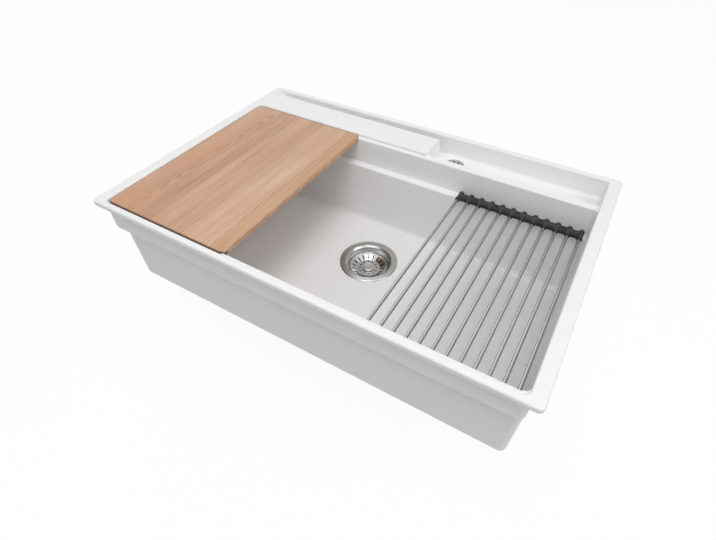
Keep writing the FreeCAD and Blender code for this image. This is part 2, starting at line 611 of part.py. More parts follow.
# Overflow and tray drain
def save_overflow():
    """The slotted cover in the tray's floor, its screw, and the elbow under the tray."""
    floor = level(TRAY_DEPTH)
    seat = floor - OVERFLOW_COVER_THICKNESS
    under = floor - WALL
    x, y = overflow_x, overflow_y
    through = OVERFLOW_COVER_THICKNESS + 2 * OVERRUN
    screw_bore_r = OVERFLOW_SCREW_R + THREAD_CLEARANCE
    cover = disc(OVERFLOW_COVER_R, OVERFLOW_COVER_THICKNESS, x, y, seat)
    slot = disc(OVERFLOW_SLOT_R, through, x + OVERFLOW_SLOT_CIRCLE_R, y, seat - OVERRUN)
    hole = disc(screw_bore_r, through, x, y, seat - OVERRUN)
    save(cover.cut(around([slot], OVERFLOW_SLOTS, x, y) + [hole]), "overflow_cover")
    head_top = floor + OVERFLOW_SCREW_HEAD_HEIGHT
    half = OVERFLOW_SCREW_SLOT / 2
    head = disc(OVERFLOW_SCREW_HEAD_R, OVERFLOW_SCREW_HEAD_HEIGHT, x, y, floor)
    head = head.makeChamfer(OVERFLOW_SCREW_SLOT * SOFT_EDGE_SHARE, flat_edges(head, head_top))
    groove = block(x - OVERFLOW_SCREW_HEAD_R, x + OVERFLOW_SCREW_HEAD_R, y - half, y + half,
                   head_top - OVERFLOW_SCREW_SLOT, head_top)
    shank = disc(OVERFLOW_SCREW_R, OVERFLOW_SCREW_LENGTH, x, y, floor - OVERFLOW_SCREW_LENGTH)
    save(head.cut(groove).fuse(shank), "overflow_screw")
    gasket_z = under - ELBOW_GASKET_THICKNESS
    save(ring(ELBOW_FLANGE_R, ELBOW_R, ELBOW_GASKET_THICKNESS, x, y, gasket_z), "overflow_gasket")
    flange_z = gasket_z - ELBOW_FLANGE_THICKNESS
    bottom = gasket_z - ELBOW_DROP
    pipe_z = bottom + ELBOW_R
    flange = disc(ELBOW_FLANGE_R, ELBOW_FLANGE_THICKNESS, x, y, flange_z)
    pot = disc(ELBOW_R, ELBOW_DROP, x, y, bottom)
    spigot, bore = hose_spigot(ELBOW_R, (x, y, pipe_z), (-1, 0, 0))
    inside_z = pipe_z - ELBOW_BORE_R
    hollow = disc(ELBOW_BORE_R, gasket_z - inside_z + OVERRUN, x, y, inside_z)
    elbow = flange.fuse([pot] + spigot).cut([hollow, bore])
    boss_z = floor - OVERFLOW_SCREW_LENGTH - OVERRUN
    boss = disc(ELBOW_BOSS_R, gasket_z - boss_z, x, y, boss_z)
    rib = block(x + ELBOW_BOSS_R * FILL_SHARE, x + (ELBOW_BORE_R + ELBOW_R) / 2,
                y - ELBOW_RIB / 2, y + ELBOW_RIB / 2, boss_z, gasket_z)
    screw_hole = disc(screw_bore_r, OVERFLOW_SCREW_LENGTH + OVERRUN, x, y, boss_z - OVERRUN)
    save(elbow.fuse([boss] + around([rib], ELBOW_RIBS, x, y)).cut(screw_hole), "overflow_elbow")


# Cutting board
def make_board():
    """One board with a tongue along its front and back edge, which rides on the upper ledges."""
    x0 = -open_x + BOARD_SIDE_GAP
    x1 = x0 + BOARD_WIDTH
    y0 = open_front + BOARD_END_GAP
    y1 = deck_front - BOARD_END_GAP
    top = level(BOARD_TOP_BELOW_RIM)
    tongue = level(UPPER_LEDGE_DEPTH) + BOARD_SEAT_GAP
    upper = tub((x0, x1, y0, y1), (0, 0, 0, 0), BOARD_CORNER_R, top, tongue)
    upper = upper.makeFillet(BOARD_TOP_EDGE_R, flat_edges(upper, top))
    lower = tub((x0, x1, mid_front + BOARD_RABBET_GAP, mid_back - BOARD_RABBET_GAP), (0, 0, 0, 0),
                BOARD_CORNER_R, (top + tongue) / 2, top - BOARD_THICKNESS)
    lower = lower.makeChamfer(BOARD_UNDER_EDGE, flat_edges(lower, top - BOARD_THICKNESS))
    return upper.fuse(lower)


# Roll-up drying mat
rod_z = level(LOWER_LEDGE_DEPTH) + MAT_SEAT_GAP + SLEEVE_R
last_rod_x = open_x - mid_side_lean - MAT_RIGHT_GAP - SLEEVE_R
first_rod_x = last_rod_x - ROD_PITCH * (RODS - 1)
mat_front = mid_front + mid_end_lean + MAT_END_GAP
mat_back = mid_back - mid_end_lean - MAT_END_GAP


def make_link(x, first, last):
    """Two moulded ends of neighbouring rods: sleeves on a web, with a knuckle and a socket."""
    knuckle_r = WEB_THICKNESS / 2
    socket_r = knuckle_r + KNUCKLE_CLEARANCE
    back_start = mat_back - SLEEVE_LENGTH
    bore_length = SLEEVE_LENGTH - ROD_END_INSET
    rod_places = [x + ROD_PITCH * i for i in range(RODS_PER_LINK)]
    left = rod_places[0] - (0 if first else ROD_PITCH / 2)
    right = rod_places[-1] + (0 if last else ROD_PITCH / 2)
    ends = []
    for y0, bore_y in ((mat_front, mat_front + ROD_END_INSET), (back_start, back_start)):
        web_y = y0 + (SLEEVE_LENGTH - WEB_WIDTH) / 2
        end = block(left, right, web_y, web_y + WEB_WIDTH, rod_z - knuckle_r, rod_z + knuckle_r)
        if not first:
            start = Vec(left, web_y - OVERRUN, rod_z)
            end = end.cut(Part.makeCylinder(socket_r, WEB_WIDTH + 2 * OVERRUN, start, BACKWARDS))
        moulded, bores = [], []
        if not last:
            moulded.append(Part.makeCylinder(knuckle_r, WEB_WIDTH, Vec(right, web_y, rod_z), BACKWARDS))
        for rod_x in rod_places:
            moulded.append(Part.makeCylinder(SLEEVE_R, SLEEVE_LENGTH, Vec(rod_x, y0, rod_z), BACKWARDS))
            bores.append(Part.makeCylinder(ROD_R, bore_length, Vec(rod_x, bore_y, rod_z), BACKWARDS))
        ends.append(end.fuse(moulded).cut(bores).removeSplitter())
    return Part.makeCompound(ends)


def save_mat():
    """Every rod, and the moulded ends that hold the rods in twos, from the left to the right."""
    length = mat_back - mat_front - 2 * ROD_END_INSET
    for i in range(RODS):
        start = Vec(first_rod_x + ROD_PITCH * i, mat_front + ROD_END_INSET, rod_z)
        tube = Part.makeCylinder(ROD_R, length, start, BACKWARDS)
        bore = Part.makeCylinder(ROD_R - ROD_WALL, length, start, BACKWARDS)
        save(tube.cut(bore), "mat_rod_%02d" % (i + 1))
    for i in range(0, RODS, RODS_PER_LINK):
        link = make_link(first_rod_x + ROD_PITCH * i, i == 0, i + RODS_PER_LINK == RODS)
        save(link, "mat_link_%02d" % (i // RODS_PER_LINK + 1))


save(make_sink_body(), "sink_body")
save_waste()
save_basket()
save_tailpiece()
save_overflow()
save(make_board(), "cutting_board")
save_mat()
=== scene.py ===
# %% [markdown]
# # A workstation sink in cast granite composite
# The object is a drop-in kitchen sink: a white casting with a cutting board on its upper ledge, a roll-up
# drying mat on its lower ledge and a polished basket strainer in its floor. The solids come from the packed
# model. This file gives them their finishes, finer edges and moulded details, then lights them in a plain
# studio.

# %% [markdown]
# ## Load the imported model
# The solids, their joints and the slot of each material come packed from the CAD step. They could be imported
# one by one, but the loader puts them all in one frame, in metres, with every piece on the body that moves it.
# The box is measured before anything changes, and the floor is later set at its lowest point.

# %% Load the imported model
import json
import math

import bmesh
import bpy
from mathutils import Matrix, Vector

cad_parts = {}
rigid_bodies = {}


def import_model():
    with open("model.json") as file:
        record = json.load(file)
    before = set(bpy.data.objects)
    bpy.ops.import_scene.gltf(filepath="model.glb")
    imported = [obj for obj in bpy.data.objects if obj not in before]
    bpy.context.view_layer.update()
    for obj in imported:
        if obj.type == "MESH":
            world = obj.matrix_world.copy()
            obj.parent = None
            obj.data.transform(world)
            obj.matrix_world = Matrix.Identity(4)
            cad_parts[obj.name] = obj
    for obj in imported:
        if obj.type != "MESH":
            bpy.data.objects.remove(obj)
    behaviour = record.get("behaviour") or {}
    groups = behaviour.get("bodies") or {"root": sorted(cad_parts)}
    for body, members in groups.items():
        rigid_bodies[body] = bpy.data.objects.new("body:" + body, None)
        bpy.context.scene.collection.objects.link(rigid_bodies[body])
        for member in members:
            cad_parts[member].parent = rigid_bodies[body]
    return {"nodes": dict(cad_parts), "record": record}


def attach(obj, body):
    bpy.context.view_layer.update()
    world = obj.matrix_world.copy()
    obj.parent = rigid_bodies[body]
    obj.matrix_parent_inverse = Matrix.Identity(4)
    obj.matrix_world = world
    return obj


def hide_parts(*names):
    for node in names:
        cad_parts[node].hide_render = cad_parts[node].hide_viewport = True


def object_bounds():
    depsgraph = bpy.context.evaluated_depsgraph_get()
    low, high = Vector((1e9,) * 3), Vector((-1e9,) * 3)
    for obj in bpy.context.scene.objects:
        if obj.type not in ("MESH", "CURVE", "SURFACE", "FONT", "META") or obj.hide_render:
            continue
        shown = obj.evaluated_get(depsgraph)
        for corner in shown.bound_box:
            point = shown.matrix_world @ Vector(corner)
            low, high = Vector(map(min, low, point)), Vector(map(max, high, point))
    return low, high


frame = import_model()
model_box = [list(corner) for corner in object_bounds()]
MM = 0.001
WELD = 0.002 * MM  # corners closer than this are one corner
nodes = frame["nodes"]
body_of = {node: body for body, members in frame["record"]["behaviour"]["bodies"].items() for node in members}
print("model box in mm:", [[round(v / MM, 1) for v in corner] for corner in model_box])

# %% [markdown]
# ## A short way to write node trees
# A finish is mostly arithmetic on patterns. It could be wired by hand, node by node, but sums are easier to
# read than wires. So one small class holds a socket, and its plus, minus, times and divide add the Math nodes.
# Every other node comes from one method, which sets the node up first and then joins its sockets.

# %% Sockets that can be added and multiplied
def add_node(tree, kind, settings=None, sockets=None):
    """A node in a tree: its settings first, then the value or wire of each named or numbered socket."""
    new = tree.nodes.new(kind)
    for key, value in (settings or {}).items():
        if key == "stops":
            while len(new.color_ramp.elements) < len(value):
                new.color_ramp.elements.new(1)
            for stop, (position, color) in zip(new.color_ramp.elements, value):
                stop.position = position
                stop.color = color
        else:
            setattr(new, key, value)
    for key, value in (sockets or {}).items():
        if isinstance(value, Wire):
            tree.links.new(value.socket, new.inputs[key])
        else:
            new.inputs[key].default_value = value
    return new


class Wire:
    """One output of a node tree."""

    def __init__(self, socket):
        self.socket = socket

    def node(self, kind, settings=None, sockets=None, out=0):
        """Another node in this wire's tree, by its type without the first word."""
        return Wire(add_node(self.socket.id_data, "ShaderNode" + kind, settings, sockets).outputs[out])

    def math(self, operation, *values):
        """A Math node on one, two or three numbers."""
        return self.node("Math", {"operation": operation}, dict(enumerate(values)))

    def __add__(self, other):
        return self.math("ADD", self, other)

    def __sub__(self, other):
        return self.math("SUBTRACT", self, other)

    def __rsub__(self, other):
        return self.math("SUBTRACT", other, self)

    def __mul__(self, other):
        return self.math("MULTIPLY", self, other)

    def __truediv__(self, other):
        return self.math("DIVIDE", self, other)

    def __gt__(self, other):
        return self.math("GREATER_THAN", self, other)

    __radd__ = __add__
    __rmul__ = __mul__

    def part(self, axis):
        """X, Y or Z of a vector."""
        return self.node("SeparateXYZ", {}, {0: self}, "XYZ".index(axis))

    def stretched(self, x, y, z):
        """The same place with each axis multiplied, so that a pattern is longer one way than another."""
        return self.node("VectorMath", {"operation": "MULTIPLY"}, {0: self, 1: (x, y, z)})

    def noise(self, scale, detail=2.0, rough=0.5):
        """Soft random clouds over this place, so many to the metre."""
        return self.node("TexNoise", {}, {"Vector": self, "Scale": scale, "Detail": detail, "Roughness": rough})

    def colors(self, *stops):
        """This number turned into a colour by a ramp."""
        return self.node("ValToRGB", {"stops": stops}, {0: self})

    def mix(self, first, second):
        """First colour where this number is 0, second where it is 1."""
        return self.node("Mix", {"data_type": "RGBA"}, {0: self, 6: first, 7: second}, 2)


def grey(value):
    """Colour without hue, from black at 0 to white at 1."""
    return (value, value, value, 1)


# %% [markdown]
# ## From a pattern to a material
# Each surface of the sink gets its look from one shader. An image could be wrapped round each piece, but a
# pattern needs no unwrapping and stays sharp close up. What is the same all over goes on the shader's own
# sockets. What changes over the surface comes from a function that starts at the piece's own coordinates, and a
# height becomes a bump.

# %% A finish
def finish(name, build, **fixed):
    """A material: fixed numbers go on the shader's own sockets, patterns come from build(place)."""
    material = bpy.data.materials.new(name)
    material.use_nodes = True
    tree = material.node_tree
    shader = tree.nodes["Principled BSDF"]
    for key, value in fixed.items():
        shader.inputs[key.replace("_", " ")].default_value = value
    place = Wire(tree.nodes.new("ShaderNodeTexCoord").outputs["Object"])
    found = build(place)
    height = found.pop("Height", None)
    if height:
        found["Normal"] = place.node("Bump", {}, {"Height": height, "Strength": 1.0, "Distance": 1.0})
    for key, value in found.items():
        tree.links.new(value.socket, shader.inputs[key])
    print("finish:", name, len(tree.nodes), "nodes")
    return material

# %% [markdown]
# ## Cast granite composite
# The casting is four fifths quartz sand in acrylic resin. Up close it is a matt white with pale grey and clear
# grains about a millimetre across, and a skin like fine eggshell. One flat white would be quicker, but it looks
# like paper. So a Voronoi pattern gives every grain its own faint tone, and two noises give the skin its tooth.

# %% Granite finish
FINE_GRAINS, COARSE_GRAINS = 850.0, 330.0  # per metre


def granite_pattern(place):
    """White sand in resin: grains in two sizes, a slow drift of tone and an eggshell skin."""
    grains = place.node("TexVoronoi", {"feature": "F1"}, {"Vector": place, "Scale": FINE_GRAINS}, 1).part("X")
    coarse = place.node("TexVoronoi", {"feature": "F1"}, {"Vector": place, "Scale": COARSE_GRAINS}, 1).part("Y")
    drift = place.noise(7.0, 3.0)
    tone = (grains * 0.6 + coarse * 0.4).colors((0.0, grey(0.835)), (0.5, grey(0.858)), (1.0, grey(0.88)))
    skin = place.noise(1300.0, 2.0) * 0.000015 + place.noise(240.0, 2.0) * 0.000018
    return {"Base Color": (drift * 0.10).mix(tone, (0.86, 0.862, 0.865, 1)),
            "Roughness": drift * 0.12 + grains * 0.10 + 0.42, "Height": skin}


granite = finish("granite_white", granite_pattern, IOR=1.5)

# %% [markdown]
# ## Wood of the cutting board
# The board is glued up from three wide staves of a warm brown hardwood, with the grain running from the front
# to the wall, and a rounded edge band at its right. A picture of wood could be wrapped round it, but it would
# repeat, and stretch at the edges. A pattern that fills the whole block has neither fault. A flat-sawn stave
# shows its rings as long nested arches, so the rings are distances from a long axis under the stave, bent by a
# noise, and each stave has an axis of its own. Pores and fibres are noises drawn out along the grain. End grain
# drinks more oil, so a face is darker the more it looks along the grain.

# %% Board finish
STAVE_SEAMS = (-0.283, -0.207)
EDGE_BAND_X = -0.142
HEART_X, HEART_Y = -0.335, -0.05
RINGS = 1500.0  # radians of the ring wave per metre
PORE_SHARE = 0.60
SEAM_HALF = 0.00045
PALE_WOOD, MIDDLE_WOOD, DARK_WOOD = (0.700, 0.480, 0.350, 1), (0.575, 0.355, 0.235, 1), (0.400, 0.215, 0.125, 1)
RED_WOOD, BAND_WOOD = (0.600, 0.305, 0.170, 1), (0.560, 0.330, 0.170, 1)
SEAM_GLUE, END_GRAIN = (0.25, 0.125, 0.065, 1), (0.085, 0.045, 0.026, 1)


def board_pattern(place):
    """Staves along Y with rings, fibres, pores, glue seams and dark end grain."""
    x, y, z = (place.part(axis) for axis in "XYZ")
    second, third, band = (x > STAVE_SEAMS[0]), (x > STAVE_SEAMS[1]), (x > EDGE_BAND_X)
    # Each stave takes its patterns from another part of the tree.
    shift = place.node("CombineXYZ", {}, {"X": second * 0.31 + third * 0.47 + band * 0.2,
                                          "Y": second * 1.7 + third * 0.9, "Z": band * 0.6})
    own = place.node("VectorMath", {"operation": "ADD"}, {0: place, 1: shift})
    # Rings are distances from the heart, a long axis under the stave.
    bend = own.stretched(9.0, 2.0, 9.0).noise(1.0, 3.0) - 0.5
    heart = x - HEART_X - second * 0.16 - third * 0.10 + bend * 0.05
    along = (y - HEART_Y - third * 0.5) * 0.12 + bend * 0.03
    squared = heart * heart + along * along + z * z * 0.4
    turns = squared.math("SQRT", squared) * RINGS + bend * 9.0
    wave = turns.math("SINE", turns) * 0.5 + 0.5
    late = wave * wave
    # Noises drawn out along the grain, from the finest to the broadest.
    fibres = own.stretched(520.0, 9.0, 520.0).noise(1.0, 3.0, 0.6)
    pores = own.stretched(1500.0, 45.0, 1500.0).noise(1.0, 2.0, 0.6) > PORE_SHARE
    flow = own.stretched(34.0, 4.0, 34.0).noise(1.0, 4.0, 0.55)
    streaks = own.stretched(150.0, 2.2, 150.0).noise(1.0, 3.0, 0.6)
    warmth = own.stretched(26.0, 5.0, 26.0).noise(1.0, 3.0, 0.6)
    # One number for how dark the wood is, then its colours.
    stave_tone = ((x + 0.345) * 0.9 + 0.04) * (1.0 - second) - (third - band) * 0.09 + band * 0.03
    depth = (late * 0.17 + fibres * 0.6 + streaks * 0.38 + flow * 0.5 + pores * 0.06 - 0.29) + stave_tone
    wood = depth.colors((0.22, PALE_WOOD), (0.50, MIDDLE_WOOD), (0.85, DARK_WOOD))
    warmed = ((warmth - 0.46) * 3.0 * (1.0 - third * 0.6)).mix(wood, RED_WOOD)
    banded = (band * 0.30).mix(warmed, BAND_WOOD)
    seams = 0.0
    for seam in (*STAVE_SEAMS, EDGE_BAND_X):
        line = (x - seam).math("ABSOLUTE", x - seam)
        seams = line.math("LESS_THAN", line, SEAM_HALF) + seams
    lined = (seams * 0.45).mix(banded, SEAM_GLUE)
    # End grain, where the surface looks to the front or to the wall.
    facing = Wire(place.socket.id_data.nodes.new("ShaderNodeNewGeometry").outputs["Normal"]).part("Y")
    ends = facing.math("MINIMUM", facing.math("ABSOLUTE", facing) * 2.2 - 0.5, 0.85)
    grooves = fibres * -0.00010 + pores * -0.00005 + seams * -0.00008
    return {"Base Color": ends.math("MAXIMUM", ends, 0.0).mix(lined, END_GRAIN),
            "Roughness": fibres * 0.18 + late * 0.06 + 0.44, "Height": grooves}


board_wood = finish("board_hardwood", board_pattern, IOR=1.48)

# %% [markdown]
# ## Steel
# The strainer is pressed and polished on a lathe, so its finest marks run round its axis. Its basket is thinner
# sheet, which the press leaves slightly uneven, and its knob has a satin brush. The mat's rods are drawn, with
# marks that run along them. All are the same metal with another direction of scratch, so one pattern takes the
# coordinate that runs across the scratches, and each finish sets its own tone and roughness.

# %% Steel finishes
DRAIN_Y = 24.5 * MM
TURNED_SCRATCHES, DRAWN_SCRATCHES = 2500.0, 1800.0  # per metre


def steel_pattern(across, tone, rough, depth, dents=0.0):
    """Steel whose scratches are narrow across one coordinate, with shallow dents where it is pressed."""
    def build(place):
        vector = place.node("CombineXYZ", {}, {"X": across(place), "Y": place.part("Y") * 6.0,
                                               "Z": place.part("Z") * 6.0})
        scratch = vector.noise(1.0, 3.0, 0.6)
        smear = place.noise(35.0, 2.0)
        height = scratch * depth
        if dents:
            height = height + place.noise(170.0, 1.0) * dents
        return {"Base Color": scratch.mix(grey(tone - 0.05), grey(tone + 0.04)),
                "Roughness": scratch * 0.10 + smear * 0.08 + rough, "Height": height}
    return build


def from_drain_axis(place):
    """Distance from the drain's axis."""
    centred = place.node("VectorMath", {"operation": "SUBTRACT"}, {0: place, 1: (0, DRAIN_Y, 0)})
    flat = centred.stretched(1, 1, 0)
    return flat.node("VectorMath", {"operation": "LENGTH"}, {0: flat}, 1) * TURNED_SCRATCHES


def across_rods(place):
    """Place across a rod, whose length runs along Y."""
    return place.part("X") * DRAWN_SCRATCHES + place.part("Z") * DRAWN_SCRATCHES


turned_steel = finish("steel_turned", steel_pattern(
    from_drain_axis, tone=0.54, rough=0.17, depth=0.000006), Metallic=1.0)
basket_steel = finish("steel_basket", steel_pattern(
    from_drain_axis, tone=0.60, rough=0.10, depth=0.000003, dents=0.0004), Metallic=1.0)
knob_steel = finish("steel_satin", steel_pattern(
    from_drain_axis, tone=0.55, rough=0.28, depth=0.000006), Metallic=1.0)
rod_steel = finish("steel_drawn", steel_pattern(
    across_rods, tone=0.44, rough=0.04, depth=0.000001), Metallic=1.0)

# %% [markdown]
# ## Silicone, rubber and pipe plastic
# The mat's ends are charcoal silicone, matt with a bloom of fine dust, and their tops are painted paler as a
# painted highlight.
# Seals are black rubber. The pipes under the sink are injection-moulded: smooth, slightly glossy, with the
# faint orange peel that comes from the mould. Each could have its own node tree, but they differ only in
# colour, gloss and grain, so one pattern takes these as numbers.

# %% Soft and moulded finishes
def moulded_pattern(color, rough, grain, depth, painted_top_highlight=None):
    """Moulded stuff in one colour, with a fine skin and uneven gloss, and a painted highlight: paler colour
    towards its tops.
    """
    dark = tuple(c * 0.86 for c in color) + (1,)
    light = tuple(min(1.0, c * 1.08) for c in color) + (1,)

    def build(place):
        cloud = place.noise(60.0, 3.0)
        skin = place.noise(grain, 2.0)
        found = cloud.mix(dark, light)
        # Painted highlight: between two heights the colour turns to a paler tone on the tops.
        if painted_top_highlight:
            start, end, highlight_tone = painted_top_highlight
            share = (place.part("Z") - start) / (end - start) + (skin - 0.5) * 0.3
            found = share.math("MINIMUM", share.math("MAXIMUM", share, 0.0), 1.0).mix(found, highlight_tone + (1,))
        return {"Base Color": found, "Roughness": cloud * 0.12 + skin * 0.06 + rough, "Height": skin * depth}
    return build


# Heights of the silicone's painted highlight, where its tops turn paler.
HIGHLIGHT_FROM, HIGHLIGHT_TO = -42.8 * MM, -41.2 * MM
silicone = finish("silicone_charcoal", moulded_pattern(
    (0.018, 0.019, 0.021), rough=0.34, grain=900.0, depth=0.00004,
    painted_top_highlight=(HIGHLIGHT_FROM, HIGHLIGHT_TO, (0.060, 0.062, 0.067))), IOR=1.41)
black_rubber = finish("rubber_black", moulded_pattern(
    (0.022, 0.022, 0.024), rough=0.55, grain=1400.0, depth=0.00005))
slip_plastic = finish("slip_ring_plastic", moulded_pattern(
    (0.62, 0.60, 0.52), rough=0.45, grain=800.0, depth=0.00002))
nut_plastic = finish("nut_grey_plastic", moulded_pattern(
    (0.30, 0.31, 0.33), rough=0.35, grain=700.0, depth=0.00003))
pipe_plastic = finish("pipe_white_plastic", moulded_pattern(
    (0.74, 0.74, 0.72), rough=0.28, grain=300.0, depth=0.00002))

# %% [markdown]
# ## Smooth copies of the solids
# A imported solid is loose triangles, which shade flat. Where a surface is curved, a copy with its doubles merged
# can be shaded smooth up to its real edges. A weighted-normal modifier lets the large flat faces keep their own
# direction, so that only the roundings bend the light. The copy replaces the solid and rides on the same body.

# %% Show a piece
def shade_by_angle(mesh, degrees):
    """Smooth shading that stops at edges sharper than an angle."""
    mesh.polygons.foreach_set("use_smooth", [True] * len(mesh.polygons))
    work = bmesh.new()
    work.from_mesh(mesh)
    for edge in work.edges:
        edge.smooth = edge.is_manifold and edge.calc_face_angle(math.pi) < math.radians(degrees)
    work.to_mesh(mesh)
    work.free()


def show(name, mesh, material, body, degrees=32.0, replaced=()):
    """A finished piece: shaded, in its material, on its body, and in place of some nodes."""
    shade_by_angle(mesh, degrees)
    mesh.materials.clear()
    mesh.materials.append(material)
    piece = bpy.data.objects.new(name, mesh)
    bpy.context.scene.collection.objects.link(piece)
    weights = piece.modifiers.new("weights", "WEIGHTED_NORMAL")
    weights.keep_sharp = True
    if replaced:
        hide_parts(*replaced)
    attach(piece, body)
    print("piece:", name, "in", material.name, "on", body, "with", len(mesh.polygons), "faces")


# %% Copy, merge and smooth
def merged_mesh(node):
    """The node's own triangles with their doubles merged."""
    mesh = nodes[node].data.copy()
    work = bmesh.new()
    work.from_mesh(mesh)
    bmesh.ops.remove_doubles(work, verts=work.verts, dist=WELD)
    work.to_mesh(mesh)
    work.free()
    return mesh


FINISHES = {"casting": granite, "polished_steel": turned_steel, "brushed_steel": basket_steel,
            "silicone": silicone, "board_wood": board_wood, "seal_rubber": black_rubber,
            "slip_plastic": slip_plastic, "nut_plastic": nut_plastic, "pipe_plastic": pipe_plastic}
slot_of = {part["node"]: part["material_slot"] for part in frame["record"]["subparts"]}
print("nodes by slot:", {slot: list(slot_of.values()).count(slot) for slot in FINISHES})

# %% [markdown]
# ## The board's finger edge
# The board's free edge slopes back underneath, so that fingers can get under it and lift it off its ledges. A
# bevel modifier would round every edge of the board, and a boolean needs a cutter. One plane is simpler: it
# cuts the corner off the closed mesh, and the open border is filled again.

# %% Finger edge
FINGER_EDGE = 9.0 * MM


def grip_bevel(mesh, height):
    """Slope under the free edge of the board, where fingers lift it."""
    corners = [v.co for v in mesh.vertices]
    edge_x, under_z = max(c.x for c in corners), min(c.z for c in corners)
    work = bmesh.new()
    work.from_mesh(mesh)
    cut = bmesh.ops.bisect_plane(work, geom=work.verts[:] + work.edges[:] + work.faces[:], dist=1e-6,
                                 plane_co=(edge_x - height, 0, under_z), plane_no=(1, 0, -1), clear_outer=True)
    border = [e for e in cut["geom_cut"] if isinstance(e, bmesh.types.BMEdge)]
    made = bmesh.ops.holes_fill(work, edges=border, sides=0)["faces"]
    bmesh.ops.recalc_face_normals(work, faces=work.faces)
    work.to_mesh(mesh)
    work.free()
    print("board bevel faces:", len(made))
    return mesh


# %% [markdown]
# ## Dress the solids
# Every solid whose shape is already right gets its smooth copy here, in the finish of its material slot. Four
# pieces of the strainer are left out, because they are drawn again further down with the bends of real sheet
# metal.

# %% Dress the solids
REMADE = ("strainer_body", "strainer_basket", "strainer_post", "strainer_stopper")
for node, slot in slot_of.items():
    if node not in REMADE:
        material = rod_steel if node.startswith("mat_rod") else FINISHES[slot]
        material = knob_steel if node in ("overflow_cover", "overflow_screw") else material
        mesh = merged_mesh(node)
        if node == "cutting_board":
            mesh = grip_bevel(mesh, FINGER_EDGE)
        show(node + "_finished", mesh, material, body_of[node], replaced=[node])
print("pieces dressed:", len(slot_of) - len(REMADE))

# %% [markdown]
# ## Turned and pressed steel
# The strainer is spun from sheet, so every bend is a small radius that catches a thin bright ring. A bevel on
# the solid could give that, but the bends all differ. So the profile is drawn again as a run of points, its
# corners are made arcs, the sheet gets its thickness, and the outline is turned about the drain's axis.

# %% Profiles
def rounded(points, bend, steps=6):
    """A run of points whose corners become arcs."""
    run = [Vector(points[0])]
    for before, corner, after in zip(points, points[1:], points[2:]):
        corner = Vector(corner)
        back, ahead = Vector(before) - corner, Vector(after) - corner
        half = back.angle(ahead) / 2
        reach = min(bend / math.tan(half), back.length * 0.45, ahead.length * 0.45)
        start, end = corner + back.normalized() * reach, corner + ahead.normalized() * reach
        for i in range(steps + 1):
            share = i / steps
            run.append(start * (1 - share) ** 2 + corner * 2 * share * (1 - share) + end * share ** 2)
    return run + [Vector(points[-1])]


def sheet_outline(run, thickness):
    """Closed outline of sheet metal, from the run of its upper side."""
    lower = []
    for i, point in enumerate(run):
        way = (run[min(i + 1, len(run) - 1)] - run[max(i - 1, 0)]).normalized()
        lower.append(point + Vector((-way.y, way.x)) * thickness)
    return list(run) + lower[::-1]


def turned(outlines, segments=96):
    """Closed shells turned about the drain's axis, from outlines of radius and height in millimetres."""
    work = bmesh.new()
    for outline in outlines:
        rings = []
        for i in range(segments):
            angle = 2 * math.pi * i / segments
            rings.append([work.verts.new((r * MM * math.cos(angle), DRAIN_Y + r * MM * math.sin(angle), z * MM))
                          for r, z in outline])
        for i in range(segments):
            for k in range(len(outline)):
                work.faces.new((rings[i - 1][k - 1], rings[i][k - 1], rings[i][k], rings[i - 1][k]))
    bmesh.ops.remove_doubles(work, verts=work.verts, dist=WELD)
    # An outline that starts and ends on the axis leaves one loose edge there.
    for edge in [e for e in work.edges if e.is_wire]:
        work.edges.remove(edge)
    bmesh.ops.recalc_face_normals(work, faces=work.faces)
    mesh = bpy.data.meshes.new("turned")
    work.to_mesh(mesh)
    work.free()
    return mesh


def joined(meshes):
    """Several meshes as one."""
    work = bmesh.new()
    for mesh in meshes:
        work.from_mesh(mesh)
    result = bpy.data.meshes.new("joined")
    work.to_mesh(result)
    work.free()
    return result

# %% [markdown]
# ## Strainer cup
# The cup has a flat flange with a softly rolled lip, a mouth, a throat with the basket's seat, and a threaded
# neck. A crossbar in the neck guides the basket's post. The bar could be cut out of one block, but two flat
# strips and a turned hub, each a closed shell, need no cutting and end inside the neck's wall.

# %% Cup, neck and crossbar
BOWL_Z = -194.0  # the bowl's floor at the drain, in millimetres
CUP_TOP = BOWL_Z + 0.4
CUP_SHEET = 1.15
cup_run = rounded([(63.5, CUP_TOP - 0.9), (62.4, CUP_TOP), (51.2, CUP_TOP - 0.3), (48.0, CUP_TOP - 3.6),
                   (43.5, CUP_TOP - 12.6), (43.5, CUP_TOP - 15.2), (39.5, CUP_TOP - 18.2),
                   (39.5, CUP_TOP - 50.0), (21.0, CUP_TOP - 60.0)], 1.8)
NECK_TOP, NECK_END = BOWL_Z - 60.0, BOWL_Z - 77.0
neck = [(21.0, NECK_TOP - 0.6), (21.0, NECK_END + 0.5), (21.5, NECK_END), (23.4, NECK_END),
        (23.9, NECK_END + 0.5), (23.9, NECK_TOP - 1.2)]
BAR_TOP, BAR_UNDER = NECK_TOP - 1.2, NECK_TOP - 6.2
hub = [(3.28, BAR_TOP - 0.3), (3.6, BAR_TOP), (6.2, BAR_TOP), (6.5, BAR_TOP - 0.3), (6.5, BAR_UNDER + 0.3),
       (6.2, BAR_UNDER), (3.6, BAR_UNDER), (3.28, BAR_UNDER + 0.3)]


def strip(x0, x1, y0, y1, z0, z1):
    """Flat strip between two corners, in millimetres, with its edges broken."""
    work = bmesh.new()
    bmesh.ops.create_cube(work, size=1.0)
    for vert in work.verts:
        x, y, z = vert.co
        vert.co = Vector((x1 if x > 0 else x0, y1 if y > 0 else y0, z1 if z > 0 else z0)) * MM
    bmesh.ops.bevel(work, geom=list(work.edges), offset=0.3 * MM, segments=2, affect="EDGES", profile=0.5)
    mesh = bpy.data.meshes.new("strip")
    work.to_mesh(mesh)
    work.free()
    return mesh


